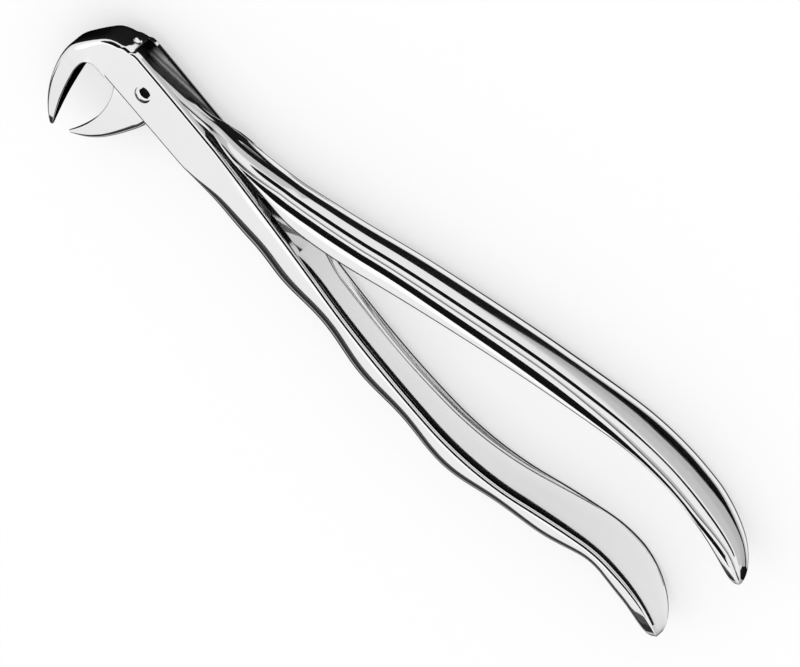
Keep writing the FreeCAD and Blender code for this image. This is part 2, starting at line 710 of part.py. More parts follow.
# ---------------------------------------------------------------- rivet
def pivot_rivet():
    """Turned rivet: a domed head on the front face, its tail peened flush at the back."""
    body = lever_body("pivot_rivet")
    half = DIM["box_thickness"] / 2
    profile = [
        (0.0, -half),
        (DIM["rivet_radius"], -half),
        (DIM["rivet_radius"], half),
        (DIM["head_radius"], half),
        (0.0, half + DIM["head_height"]),
    ]
    dome = (DIM["head_radius"].value ** 2 + DIM["head_height"].value ** 2)
    dome /= 2 * DIM["head_height"].value
    sketch = draw(body, "RivetProfile", "XZ_Plane", profile, {3: -dome})
    turned = body.newObject("PartDesign::Revolution", "Rivet")
    turned.Profile = sketch
    turned.ReferenceAxis = (sketch, ["V_Axis"])
    turned.Angle = 360
    return body


# ---------------------------------------------------------------- build and export
def check(item):
    """Stops on a failed feature or a bad solid."""
    bad = [thing.Label for thing in DOC.Objects
           if "Invalid" in thing.State or "Error" in thing.State]
    if bad:
        raise RuntimeError(f"failed features: {bad}")
    if item.Shape.isNull() or not item.Shape.isValid() or len(item.Shape.Solids) != 1:
        raise RuntimeError(f"{item.Label}: bad shape")


PIECES = [female_lever(), male_lever(), pivot_rivet()]
DOC.recompute()
os.makedirs("parts", exist_ok=True)
for piece in PIECES:
    check(piece)
for piece in PIECES:
    piece.Shape.exportStep(f"parts/{piece.Label}.step")
    print(f"{piece.Label}: {piece.Shape.Volume:.1f} cubic mm, box {piece.Shape.BoundBox}")
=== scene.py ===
# %% [markdown]
# # Lower-molar extraction forceps in polished steel
# The tool is two forged levers that cross in a box joint, held by one domed rivet.
# Everything on it is mirror-bright steel, so most of the work here is in two places:
# surfaces smooth enough to carry a clean reflection, and a studio worth reflecting.
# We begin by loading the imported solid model, which fixes every size and position.

# %% Load the solid model
import cmath
import json
import math

import bmesh
import bpy
from mathutils import Matrix, Vector

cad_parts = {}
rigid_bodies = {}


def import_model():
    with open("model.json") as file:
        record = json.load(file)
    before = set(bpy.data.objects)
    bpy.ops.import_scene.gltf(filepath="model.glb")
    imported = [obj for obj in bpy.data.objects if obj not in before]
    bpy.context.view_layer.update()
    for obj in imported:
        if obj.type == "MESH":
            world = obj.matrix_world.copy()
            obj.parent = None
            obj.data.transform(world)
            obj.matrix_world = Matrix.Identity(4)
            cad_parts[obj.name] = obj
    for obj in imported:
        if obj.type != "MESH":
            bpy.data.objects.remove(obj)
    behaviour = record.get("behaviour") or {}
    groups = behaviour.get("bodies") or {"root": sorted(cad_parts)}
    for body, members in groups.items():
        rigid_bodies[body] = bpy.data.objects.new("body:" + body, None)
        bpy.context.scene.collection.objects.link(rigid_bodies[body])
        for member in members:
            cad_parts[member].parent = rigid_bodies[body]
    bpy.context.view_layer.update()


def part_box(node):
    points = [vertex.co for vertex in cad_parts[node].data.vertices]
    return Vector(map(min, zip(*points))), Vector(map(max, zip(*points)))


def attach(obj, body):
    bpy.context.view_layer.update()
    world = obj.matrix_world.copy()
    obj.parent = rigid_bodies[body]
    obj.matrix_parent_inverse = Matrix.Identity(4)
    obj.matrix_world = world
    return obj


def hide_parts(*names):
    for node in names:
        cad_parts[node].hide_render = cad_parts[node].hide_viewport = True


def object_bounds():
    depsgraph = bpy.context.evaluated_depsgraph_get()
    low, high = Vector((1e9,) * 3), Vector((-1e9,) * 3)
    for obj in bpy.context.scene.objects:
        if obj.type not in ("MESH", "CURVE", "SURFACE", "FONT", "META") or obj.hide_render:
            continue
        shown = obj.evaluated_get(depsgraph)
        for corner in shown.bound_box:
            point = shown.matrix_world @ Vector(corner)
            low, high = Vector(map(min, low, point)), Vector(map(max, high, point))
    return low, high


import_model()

SCENE = bpy.context.scene
MM = 0.001

# %% [markdown]
# ## Why the levers are modelled again
# A imported solid arrives as triangles, long and thin along the flutes. On a matt surface
# nobody would see them, but a mirror bends every reflection at every one of them. So each
# lever is skinned again here, in even rows of four-sided faces. The skin follows the
# solid to about a millimetre, with rounder edges and deeper flutes. The solid keeps its
# work for weight and contact; what we see is the new skin. The solid is hidden; what we
# see is the new skin.
#
# The levers lie on both sides of one middle plane. Its height comes from the box joint's
# own solid, and the other sizes of the joint are written once, in millimetres.

# %% Sizes of the joint
rivet_low, rivet_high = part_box("pivot_rivet")
HEAD_HEIGHT = 0.95
BOX_THICK = (rivet_high.z - rivet_low.z) / MM - HEAD_HEIGHT
BOX_AHEAD = 8.8
BOX_BEHIND = 16.0
BOX_TOP = 5.8
BOX_BOTTOM = 5.25
HANDLE = 144.7
TONGUE = 5.2
SLOT = 5.3
print("box %.2f mm thick, slot %.2f mm wide" % (BOX_THICK, SLOT))


# %% [markdown]
# ## Lines made of bends
# A forged handle is bent over a former, one bend after another, and no bend starts with a
# kink. So its line is a chain of tangent arcs: each has a length and says by how many
# degrees it turns. Sizes along that line change smoothly too, through a few knots.

# %% A chain of bends, and a course through knots
class Bends:
    """A line in the middle plane made of tangent arcs, each a length and a turn."""

    def __init__(self, x, y, heading, runs):
        self.start = complex(x, y)
        self.heading = math.radians(heading)
        self.runs = [(run, math.radians(turn)) for run, turn in runs]
        self.length = sum(run for run, _ in runs)

    def at(self, distance):
        """Place and heading at a distance along the line."""
        place, heading = self.start, self.heading
        for run, turn in self.runs:
            step = min(distance, run)
            swing = turn * step / run
            chord = step if abs(swing) < 1e-9 else 2 * step / swing * math.sin(swing / 2)
            place += cmath.rect(chord, heading + swing / 2)
            heading += swing
            distance -= step
            if distance <= 1e-9:
                break
        return place, heading


def course(way, *knots):
    """A smooth course through (way, size) knots, level beyond both ends."""
    if way <= knots[0][0]:
        return knots[0][1]
    for index in range(len(knots) - 1):
        (a, low), (b, high) = knots[index], knots[index + 1]
        if way <= b:
            part = (way - a) / (b - a)
            before = knots[max(index - 1, 0)]
            after = knots[min(index + 2, len(knots) - 1)]
            rise_a = (high - before[1]) * (b - a) / (b - before[0])
            rise_b = (after[1] - low) * (b - a) / (after[0] - a)
            return (low * (2 * part ** 3 - 3 * part ** 2 + 1)
                    + rise_a * (part ** 3 - 2 * part ** 2 + part)
                    + high * (3 * part ** 2 - 2 * part ** 3)
                    + rise_b * (part ** 3 - part ** 2))
    return knots[-1][1]


# %% [markdown]
# ## Sections made of legs
# Cut a handle across and you see its section: a hollow inner face, a narrow rim, a flat
# side, a rounded corner, a flute and the rib. We draw half of it as a row of legs, each
# straight or an arc, and mirror it. A buffing wheel never leaves a true corner, so where
# two legs meet at an angle we cut the corner with a small curve. The width of that curve
# decides how bold the thin dark line along the rib looks.
#
# A point of a section is one complex number: the real part is the depth from the inner
# rim, the imaginary part the height over the middle plane. Turning a leg is then a
# multiplication.

# %% Legs and rings
EVEN = [step / 8 for step in range(9)]
HELD = (0.0, 0.02, 0.08, 0.3, 0.7, 0.92, 0.98, 1.0)  # rows that hold a flat face flat


class Leg:
    """A straight line or an arc from start to end that turns left by some radians."""

    def __init__(self, start, end, turn=0.0, shares=HELD):
        self.start = start
        self.way = end - start
        self.turn = turn
        self.shares = shares
        self.length = abs(self.way) + 1e-9

    def at(self, share):
        if abs(self.turn) < 1e-6:
            return self.start + self.way * share
        reach = math.sin(self.turn * share / 2) / math.sin(self.turn / 2)
        return self.start + self.way * cmath.rect(reach, self.turn * (share - 1) / 2)


def half_section(legs, softness):
    """Points along the legs. softness gives, for each joint, how far the wheel has cut the
    corner back, or None where the legs run smoothly into each other."""
    backs = [0.0]
    for before, after, soft in zip(legs, legs[1:], softness):
        backs.append(min(soft or 0.0, before.length * 0.45, after.length * 0.45))
    backs.append(0.0)
    points = []
    for number, leg in enumerate(legs):
        first = backs[number] / leg.length
        last = 1 - backs[number + 1] / leg.length
        points += [leg.at(first + (last - first) * share) for share in leg.shares[:-1]]
        if number == len(legs) - 1:
            points.append(leg.at(1.0))
        elif softness[number] is not None:
            after = legs[number + 1]
            a, b, c = leg.at(last), leg.at(1.0), after.at(backs[number + 1] / after.length)
            points += [a * (1 - t) ** 2 + b * 2 * t * (1 - t) + c * t * t
                       for t in (0.0, 0.2, 0.4, 0.6, 0.8)]
    return points


def ring(half, place, heading, side):
    """A whole section, mirrored from its half and stood square across a line. side is -1
    where the depth is measured to the right of the way, +1 where it is to the left."""
    whole = half + [point.conjugate() for point in reversed(half[1:-1])]
    across = cmath.rect(side, heading + math.pi / 2)
    return [Vector(((place + across * point.real).real, (place + across * point.real).imag,
                    point.imag)) for point in whole]


# %% [markdown]
# ## Skinning
# A row of sections becomes a skin when we lay a grid along it: one row of the grid for
# each section, one column for each point. The two long edges of the grid meet and are
# merged, the ends are closed, and the result is a solid with even, four-sided faces.

# %% A skin through sections
def skin(rings):
    """A closed bmesh through a row of rings of the same number of points."""
    work = bmesh.new()
    rows, columns = len(rings) - 1, len(rings[0])
    sheet = bmesh.ops.create_grid(work, x_segments=rows, y_segments=columns, size=0.5)["verts"]
    for corner in sheet:
        row = round((corner.co.x + 0.5) * rows)
        column = round((corner.co.y + 0.5) * columns)
        corner.co = rings[row][column % columns]
    bmesh.ops.remove_doubles(work, verts=work.verts, dist=1e-4)
    bmesh.ops.holes_fill(work, edges=[edge for edge in work.edges if edge.is_boundary], sides=0)
    bmesh.ops.recalc_face_normals(work, faces=work.faces)
    return work


def link(name, mesh):
    """A new object for a mesh, in the scene, standing at the origin."""
    made = bpy.data.objects.new(name, mesh)
    SCENE.collection.objects.link(made)
    return made


def shell(name, work):
    """Turns a bmesh in millimetres about the middle plane into an object in place."""
    bmesh.ops.translate(work, verts=work.verts, vec=(0.0, 0.0, BOX_THICK / 2))
    bmesh.ops.scale(work, verts=work.verts, vec=(MM, MM, MM))
    mesh = bpy.data.meshes.new(name)
    work.to_mesh(mesh)
    work.free()
    return link(name, mesh)


def carve(piece, tool, operation):
    """Joins a tool to a piece or cuts it out, for good, and removes the tool."""
    step = piece.modifiers.new("carve", "BOOLEAN")
    step.operation = operation
    step.solver = "EXACT"
    step.object = tool
    graph = bpy.context.evaluated_depsgraph_get()
    mesh = bpy.data.meshes.new_from_object(piece.evaluated_get(graph))
    piece.modifiers.clear()
    old, piece.data = piece.data, mesh
    bpy.data.meshes.remove(old)
    bpy.data.objects.remove(tool)


CRISP = math.radians(38.0)  # an edge that turns more than this stays crisp


def polish(piece, body, node):
    """Smooth shading that keeps crisp edges crisp and flat faces flat. The piece rides on its
    body, and its solid is hidden."""
    work = bmesh.new()
    work.from_mesh(piece.data)
    for face in work.faces:
        face.smooth = True
    for edge in work.edges:
        edge.smooth = edge.is_manifold and edge.calc_face_angle(0.0) < CRISP
    open_edges = sum(not edge.is_manifold for edge in work.edges)
    work.to_mesh(piece.data)
    work.free()
    weigh = piece.modifiers.new("flat_faces_first", "WEIGHTED_NORMAL")
    weigh.mode = "FACE_AREA"
    weigh.keep_sharp = True
    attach(piece, body)
    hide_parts(node)
    print("%s: %d faces, %d open edges" % (piece.name, len(piece.data.polygons), open_edges))


# %% [markdown]
# ## Handle section
# Both handles share one kind of section. The female handle has a soft, wide corner; the
# male one has a tighter corner, a rounder edge and deeper flutes beside its rib. The rib
# is a low roof, with a ridge that a polisher keeps straight by eye.

# %% One section of a handle
def quarter(depth, drop):
    """How far an arc turns when it starts along the side and drops by so much."""
    return -2 * math.atan2(min(depth, drop), max(depth, drop))


class Hollow:
    """The hollow inner face from its middle out to the rim: level at first, then rising
    ever faster, as a round-nosed cutter leaves it. It is used as a leg."""

    POWER = 3
    shares = [math.sin(math.radians(angle)) for angle in (0, 18, 32, 43, 52, 60, 68, 76, 83, 90)]

    def __init__(self, deep, half, level):
        self.deep = deep
        self.half = half
        self.level = level
        self.length = half

    def at(self, share):
        return complex(self.level + self.deep * (1 - share ** self.POWER), self.half * share)


def outer_legs(shape):
    """From the rim's edge over the side, the corner and the flute to the rib's ridge."""
    half, depth, edge, step = shape["half"], shape["depth"], shape["edge"], shape["step"]
    corner_u, corner_v, rib = shape["corner_u"], shape["corner_v"], shape["rib"]
    crown = depth + shape["rib_height"]
    shoulder = complex(depth, half - corner_v)
    rib_edge = complex(crown, rib)
    flute = 4 * math.atan2(2 * shape["flute"], abs(rib_edge - shoulder))
    return [
        Leg(complex(step, half - edge), complex(step + edge, half), -math.pi / 2, EVEN),
        Leg(complex(step + edge, half), complex(depth - corner_u, half), -shape["cheek"]),
        Leg(complex(depth - corner_u, half), shoulder, quarter(corner_u, corner_v), EVEN),
        Leg(shoulder, rib_edge, flute, EVEN),
        Leg(rib_edge, complex(crown + shape["ridge"], 0.0)),
    ]


NOSE = 19.5
NOSE_POWER = 1.4  # 2 gives an elliptical end, 1 a parabolic one


def nose_share(distance, length):
    """What is left of the width at a place in the rounded end."""
    into = min(1.0, max(0.0, distance - (length - NOSE)) / NOSE)
    return math.sqrt(1 - into ** NOSE_POWER)


def close_nose(shape, share):
    """Shrinks a section towards the tip of the nose, about the middle of its depth."""
    left = 1 - (1 - share) ** 2
    shape["lift"] = shape["depth"] * (1 - left) / 2
    shape["depth"] *= left
    for name in ("half", "rib", "rim"):
        shape[name] *= share
    for name in ("corner_u", "corner_v", "edge"):
        shape[name] *= min(left, share)
    for name in ("rib_height", "hollow", "flute", "ridge"):
        shape[name] *= max(0.0, share * 1.5 - 0.5)
    return shape


def stations(length, early=(), spacing=0.8):
    """Places along a handle: some chosen ones at its start, then even ones, then a nose
    where they crowd towards the tip."""
    nose = [length - NOSE + NOSE * math.sin(math.radians(angle)) ** (2 / NOSE_POWER)
            for angle in (4, 8, 13, 18, 23, 28, 33, 38, 43, 48, 53, 58, 63, 68, 73, 78, 82, 85,
                          87, 88.5, 89.5)]
    start = early[-1] if early else 0.0
    count = round((length - NOSE - start) / spacing)
    even = [start + (length - NOSE - start) * number / count for number in range(count + 1)]
    return list(early[:-1]) + even + nose


# %% [markdown]
# ## Female lever
# The female lever is one forging from the box to the scalloped end, so it gets one skin
# without a seam: its section starts as the square box, and the corners, the rib and the
# hollow grow as it leaves the joint. Near the beak end the section shrinks along a
# quarter circle, which rounds the end of the box.

# %% Section of the female lever
TIP_TRIM = 0.55  # the solid's nose is cut square; ours is closed and ends just short of it
BOX_RUN = BOX_AHEAD + BOX_BEHIND
CORNER = 2.4
FEMALE_RUNS = [(BOX_RUN, -0.9), (40.0, -4.2), (34.7, 8.4), (25.8, 22.0), (15.0, -4.3),
               (29.2, -63.6)]
SCALLOP_PITCH = 25.0
SCALLOP_FIRST = 32.5


def quarter_round(into, radius):
    """How far a rounded end has fallen back, at a distance in from its face."""
    return radius - math.sqrt(radius ** 2 - max(0.0, radius - into) ** 2)


def female_half(place, length):
    """Half a section of the female lever, at a distance from the beak end of its box."""
    distance = place - BOX_RUN
    way = distance / HANDLE
    wave = math.cos(2 * math.pi * (distance - SCALLOP_FIRST) / SCALLOP_PITCH)
    fade = course(distance, (20.5, 0.0), (32.5, 1.0), (118.7, 1.0), (132.7, 0.0))
    ribbed = course(way, (0.014, 0.0), (0.111, 1.0))
    grown = course(way, (0.175, 0.0), (0.21, 0.3), (0.28, 1.0), (0.691, 1.0), (0.795, 0.8))
    shape = {
        "depth": 0.5 * wave * fade + course(
            way, (-0.171, 11.0), (0, 10.57), (0.028, 10.3), (0.069, 9.9), (0.124, 9.7),
            (0.221, 8.65), (0.311, 7.3), (0.401, 6.8), (0.484, 6.7), (0.567, 6.1),
            (0.657, 5.4), (0.746, 4.8), (0.869, 4.2)),
        "half": course(way, (0, BOX_THICK / 2), (0.021, BOX_THICK / 2), (0.097, 4.6),
                       (0.304, 5.3), (0.456, 5.6), (0.691, 6.6), (0.795, 6.8)),
        "corner_u": course(way, (0, 1.0), (0.014, 1.1), (0.041, 2.0), (0.083, 3.8), (0.166, 5.0),
                           (0.311, 4.9), (0.484, 4.3), (0.657, 3.4), (1, 2.0)),
        "corner_v": course(way, (0, 0.8), (0.041, 1.1), (0.097, 1.8), (0.276, 2.4), (0.7, 2.2),
                           (1, 1.9)),
        "rib": 2.2 * course(way, (0, 0.75), (0.207, 0.9), (0.415, 1.0), (0.691, 1.2)),
        "rib_height": 0.45 * ribbed,
        "flute": 0.4 * ribbed,
        "ridge": 0.2 * ribbed,
        "edge": 0.6,
        "cheek": 0.1 * ribbed,
        "rim": 0.25,
        "hollow": 1.1 * grown,
        "step": 0.0,
        "lift": 0.0,
    }
    if place < CORNER:
        fallen = quarter_round(place, CORNER)
        shape["step"] = fallen
        shape["half"] -= quarter_round(min(place, 1.0), 1.0)
    else:
        shape = close_nose(shape, nose_share(place, length))
    rim = shape["half"] - shape["edge"] - shape["rim"]
    legs = [
        Hollow(shape["hollow"], rim, shape["step"]),
        Leg(complex(shape["step"], rim), complex(shape["step"], shape["half"] - shape["edge"])),
        *outer_legs(shape),
    ]
    half = half_section(legs, (0.25, None, None, None, 0.25, 0.3))
    return [point + shape["lift"] for point in half]


female_line = Bends(-BOX_AHEAD, BOX_TOP, -1.0, FEMALE_RUNS)
female_length = female_line.length - TIP_TRIM
female_places = stations(female_length, (0.0, 0.03, 0.12, 0.25, 0.42, 0.62, 0.85, 1.1, 1.35, 1.6))
female = shell("female_lever_polished", skin(
    [ring(female_half(place, female_length), *female_line.at(place), -1)
     for place in female_places]))
print("female skin: %d sections" % len(female_places))


# %% [markdown]
# ## Beaks
# Both beaks taper to a point as they bend. Their section has a flat inner face that lies
# against the tooth, sides that are flat at first, and a rounded back. The hooked beak is
# wide, because it grows out of the whole box; the lower one is as thin as the tongue.

# %% Section of a beak
def beak_half(depth, face, crest, flat, lean, edge):
    """Half a section across a beak, given its depth, half its inner face, half its crest
    and the share of its depth over which the side is flat."""
    shoulder = complex(depth * flat, face - (face - crest) * flat * lean)
    top = complex(depth, crest)
    turn = 2 * (cmath.phase(top - shoulder) - cmath.phase(shoulder - complex(0, face)))
    legs = [
        Leg(0j, complex(0, face)),
        Leg(complex(0, face), shoulder),
        Leg(shoulder, top, turn, EVEN),
        Leg(top, complex(depth, 0)),
    ]
    return half_section(legs, (edge, None, edge * 2))


def hook_half(way):
    """Half a section of the hooked beak. The way runs from 0 to 1 round the bend, and from
    1 to 2 along the tapering rest."""
    left = 1 - max(0.0, way - 1) ** 2.5
    depth = 0.7 + left * (course(way, (0, 10.8), (0.319, 10.0), (0.478, 8.3), (0.594, 6.3),
                                 (0.696, 5.2), (0.812, 4.65), (1, 4.6)) - 0.7)
    face = 0.35 + 3.55 * course(way, (0, 1.05), (0.35, 1.0), (1, 1.0), (1.123, 0.9),
                                (1.303, 0.75), (1.507, 0.56), (1.725, 0.33), (1.915, 0.13),
                                (2, 0.0))
    back = face / 3.9 * course(way, (0, 0.9), (0.32, 1.2), (0.6, 1.5), (1, 1.7))
    crest = face - back
    flat = 1 - back / depth
    return beak_half(depth, face, crest, flat, 0.08, min(0.4, face * 0.2))


hook_line = Bends(-BOX_AHEAD + 0.8, -BOX_BOTTOM - 0.2, 180.0,
                  [(2.6, 0.0), (4.3, 88.0), (3.5, 13.0), (17.6, 11.0)])
HOOK_BEND = 6.9
hook_rest = hook_line.length - HOOK_BEND
hook_ways = [number / 26 for number in range(26)] + [1 + number / 50 for number in range(51)]
hook = shell("hook", skin([
    ring(hook_half(way), *hook_line.at(min(way, 1) * HOOK_BEND + max(0.0, way - 1) * hook_rest), -1)
    for way in hook_ways]))
carve(female, hook, "UNION")
print("hooked beak: %.1f mm along its line" % hook_line.length)

# %% [markdown]
# ## The slot
# The slot goes right through the box where the lower beak swings, and behind it its floor
# climbs until the slot runs out in the handle. It is a flat outline pulled out to the
# slot's width. A ball leaves the round scoop where the cutter started, and a rod opens
# the hole for the rivet.

# %% Cut the slot, the scoop and the hole
SLOT_AHEAD = 7.9
RIVET = 1.5
RIVET_PLAY = 0.03


def prism(name, outline, thick):
    """A flat outline in the middle plane, pulled out to both sides."""
    work = bmesh.new()
    face = work.faces.new([work.verts.new((x, y, -thick / 2)) for x, y in outline])
    pulled = bmesh.ops.extrude_face_region(work, geom=[face])["geom"]
    top = [item for item in pulled if isinstance(item, bmesh.types.BMVert)]
    bmesh.ops.translate(work, verts=top, vec=(0.0, 0.0, thick))
    bmesh.ops.recalc_face_normals(work, faces=work.faces)
    return shell(name, work)


def rod(name, radius, long):
    """A round rod along the rivet's axis."""
    work = bmesh.new()
    bmesh.ops.create_cone(work, cap_ends=True, segments=48, radius1=radius, radius2=radius,
                          depth=long)
    return shell(name, work)


SLOT_OVER = 9.8  # the cutter starts above the box
SLOT_UNDER = -8.25  # and runs out below it
FLOOR_START = (8.6, -3.6)
FLOOR_END = (50.0, 4.4)
slot_outline = [(-SLOT_AHEAD, SLOT_OVER), (-SLOT_AHEAD + 0.6, SLOT_UNDER), (8.2, SLOT_UNDER),
                FLOOR_START, (36.0, 0.0), FLOOR_END, (FLOOR_END[0], SLOT_OVER)]
carve(female, prism("slot", slot_outline, SLOT), "DIFFERENCE")
ball = bmesh.new()
bmesh.ops.create_icosphere(ball, subdivisions=4, radius=1.3)
bmesh.ops.translate(ball, verts=ball.verts, vec=(-SLOT_AHEAD - 1.4, BOX_TOP, 0.0))
carve(female, shell("scoop", ball), "DIFFERENCE")
carve(female, rod("hole", RIVET, BOX_THICK * 3), "DIFFERENCE")
polish(female, "female", "female_lever")

# %% [markdown]
# ## Male lever
# The male lever is one skin as well. In the joint its section is only a web, the tongue,
# which fits the slot. Behind the pivot two cheeks grow from the top of the web, over the
# edges of the box, and become the handle, while the web below them runs out. The ridge
# of the tongue's crown flows on as the ridge of the rib.

# %% Section of the male lever
TONGUE_AHEAD = 5.7
STOP_START = 14.0
TONGUE_RUN = STOP_START + TONGUE_AHEAD
LEAD = 44.5
MALE_RUNS = [(TONGUE_RUN + 23.0, 0.0), (6.5, 16.0), (15.0, 8.3), (63.6, -6.6), (21.7, -22.6),
             (22.0, -42.4)]


def male_half(place, length):
    """Half a section of the male lever, at a distance from the toe of its tongue."""
    distance = place - TONGUE_RUN
    way = distance / LEAD if distance < LEAD else 1 + (distance - LEAD) / 107.3
    depth = course(
        way, (-0.443, -3.25), (-0.315, -2.58), (-0.157, -1.66), (-0.045, -0.87), (0.022, -0.15),
        (0.067, 0.1), (0.157, 0.35), (0.247, 0.95), (0.36, 2.2), (0.472, 3.7), (0.584, 4.9),
        (0.742, 5.4), (1.023, 5.3), (1.228, 4.4), (1.415, 3.7), (1.545, 2.8), (1.657, 1.75),
        (1.732, 1.5), (1.832, 1.6), (1.925, 2.85))
    step = course(way, (-0.443, -5.45), (-0.045, -3.1), (0.01, -1.3), (0.03, -0.1), (0.036, 0.0))
    room = depth - step
    corner = min(1.0, room / 3.6)
    start = course(way, (0, 0.0), (0.36, 1.0))
    shape = {
        "depth": depth,
        "half": course(way, (0.034, 2.6), (0.067, 2.9), (0.124, 3.6), (0.202, 4.15),
                       (0.315, 4.5), (0.697, 5.2), (1.023, 5.6), (1.21, 6.0), (1.415, 6.35),
                       (1.638, 6.75), (1.795, 6.55)),
        "corner_u": 1.8 * corner * course(way, (1.1, 1.0), (1.5, 1.25)),
        "corner_v": 1.3 * corner * course(way, (1.1, 1.0), (1.5, 1.5)),
        "rib": 2.2 * course(way, (0.0, 0.5), (0.067, 0.6), (0.36, 0.78), (0.742, 0.88), (1.17, 1.0),
                            (1.64, 1.2)),
        "rib_height": 0.45 * course(way, (0.09, 0.0), (0.36, 1.0)),
        "flute": 0.7 * course(way, (0.09, 0.0), (0.337, 1.0)),
        "ridge": 0.22,
        "edge": 0.9 * course(way, (0.034, 0.0), (0.15, 0.7), (0.4, 1.0)),
        "cheek": 0.2 * course(way, (0.15, 0.0), (0.4, 1.0)),
        "rim": 0.5,
        "hollow": 1.1 * course(way, (0.764, 0.0), (0.9, 0.3), (1.06, 1.0), (1.45, 1.0), (1.657, 0.6)),
        "step": step,
        "lift": 0.0,
    }
    web = course(way, (-0.443, -10.9), (-0.2, -11.15), (-0.14, -8.4), (-0.09, -8.2), (0.55, 0.0))
    shape = close_nose(shape, nose_share(place, length))
    rim = shape["half"] - shape["edge"] - shape["rim"]
    grown = course(way, (0.42, 0.0), (0.7, 1.0))
    wall = TONGUE / 2 + (rim - TONGUE / 2) * grown
    inner = TONGUE / 2 + (rim * 0.6 - TONGUE / 2) * grown
    deep = shape["hollow"]
    middle = complex(web + deep * (1 - (inner / wall) ** 2), inner)
    bowed = math.atan2(deep, wall)
    legs = [
        Leg(complex(web + deep, 0), middle, 1.2 * bowed * grown, EVEN),
        Leg(middle, complex(step, wall), 0.8 * bowed * grown, EVEN),
        Leg(complex(step, wall), complex(step, shape["half"] - shape["edge"])),
        *outer_legs(shape),
    ]
    half = half_section(legs, (0.2 * (1 - grown), 0.2, None, None, None, 0.2, 0.22))
    return [point + shape["lift"] for point in half]


STOP_TILT = 1.5
stop_drop = TONGUE_RUN * math.sin(math.radians(STOP_TILT))
male_line = Bends(-TONGUE_AHEAD, 6.3 - stop_drop, STOP_TILT, MALE_RUNS)
male_length = male_line.length - TIP_TRIM
male_places = stations(male_length)
male = shell("male_lever_polished", skin(
    [ring(male_half(place, male_length), *male_line.at(place), 1) for place in male_places]))

beak_line = Bends(-6.1, -5.6, -48.0, [(5.5, -30.0), (16.0, -33.0)])


def lower_beak_half(way):
    """Half a section of the lower beak. The way runs from 0 in the tongue to 1 at the tip."""
    depth = course(way, (0, 12.5), (0.116, 10.75), (0.233, 8.95), (0.4, 6.8), (0.558, 5.2),
                   (0.67, 4.2), (0.814, 2.8), (1, 0.6))
    face = course(way, (0, 2.59), (0.279, 2.55), (1, 0.3))
    flat = course(way, (0, 0.88), (0.372, 0.78), (1, 0.6))
    return beak_half(depth, face, face * 0.45, flat, 0.05, min(0.4, face * 0.2))


beak = shell("beak", skin([
    ring(lower_beak_half(number / 60), *beak_line.at(beak_line.length * number / 60), 1)
    for number in range(61)]))
carve(male, beak, "UNION")
carve(male, rod("bore", RIVET + RIVET_PLAY, BOX_THICK * 3), "DIFFERENCE")
polish(male, "male", "male_lever")

# %% [markdown]
# ## Rivet
# The rivet is turned, so its outline is spun round its axis. The head is a low dome that
# stands on the box; the tail is flush with the back.

# %% Spin the rivet
HEAD = 1.95
half_box = BOX_THICK / 2
dome = (HEAD ** 2 + HEAD_HEIGHT ** 2) / (2 * HEAD_HEIGHT)
arc = math.asin(HEAD / dome)
rivet_outline = [(0.0, -half_box), (RIVET - 0.1, -half_box), (RIVET, -half_box + 0.1),
                 (RIVET, half_box), (HEAD, half_box)]
rivet_outline += [(dome * math.sin(arc * (1 - number / 14)),
                   half_box + HEAD_HEIGHT - dome * (1 - math.cos(arc * (1 - number / 14))))
                  for number in range(1, 15)]
turned = bmesh.new()
points = [turned.verts.new((x, 0.0, z)) for x, z in rivet_outline]
edges = [turned.edges.new(pair) for pair in zip(points, points[1:])]
bmesh.ops.spin(turned, geom=points + edges, cent=(0, 0, 0), axis=(0, 0, 1), angle=math.tau,
               steps=64, use_merge=True)
bmesh.ops.remove_doubles(turned, verts=turned.verts, dist=1e-4)
bmesh.ops.recalc_face_normals(turned, faces=turned.faces)
rivet = shell("rivet_polished", turned)
polish(rivet, "female", "pivot_rivet")

for piece, node in ((female, "female_lever"), (male, "male_lever"), (rivet, "pivot_rivet")):
    corners = [corner.co for corner in piece.data.vertices]
    low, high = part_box(node)
    over = [max(0.0, max(point[axis] for point in corners) - high[axis],
                low[axis] - min(point[axis] for point in corners)) / MM for axis in range(3)]
    print("%s stands out of its solid's box by %s mm" % (piece.name, [round(v, 2) for v in over]))


# %% [markdown]
# ## A small language for materials
# Node trees are easier to read as sums. The class below wraps a socket, so that writing
# `1 - mask` or `height * 0.3` adds the Math node for it. Every other node comes from one
# method that takes its type, its settings and what goes into its sockets.

# %% Sockets that do sums
class Wire:
    """A value travelling through a node tree. Sums on it add Math nodes."""

    def __init__(self, finish, socket):
        self.finish = finish
        self.socket = socket

    def math(self, operation, *values):
        inputs = dict(enumerate(values))
        return self.finish.add("ShaderNodeMath", {"operation": operation}, inputs)["Value"]

    def __add__(self, other):
        return self.math("ADD", self, other)

    def __sub__(self, other):
        return self.math("SUBTRACT", self, other)

    def __rsub__(self, other):
        return self.math("SUBTRACT", other, self)

    def __mul__(self, other):
        return self.math("MULTIPLY", self, other)

    def __truediv__(self, other):
        return self.math("DIVIDE", self, other)

    def __rtruediv__(self, other):
        return self.math("DIVIDE", other, self)

    def __abs__(self):
        return self.math("ABSOLUTE", self)

    __radd__ = __add__
    __rmul__ = __mul__

    def step(self, low, high):
        """Runs smoothly from 0 at low to 1 at high, or the other way if low is higher."""
        flip = low > high
        settings = {"interpolation_type": "SMOOTHSTEP"}
        inputs = {"Value": self, "From Min": min(low, high), "From Max": max(low, high),
                  "To Min": 1.0 if flip else 0.0, "To Max": 0.0 if flip else 1.0}
        return self.finish.add("ShaderNodeMapRange", settings, inputs)["Result"]


class Outputs:
    """The outputs of one node, by name, each as a wire."""

    def __init__(self, finish, node):
        self.finish = finish
        self.node = node

    def __getitem__(self, name):
        socket = next(item for item in self.node.outputs if item.name == name and item.enabled)
        return Wire(self.finish, socket)


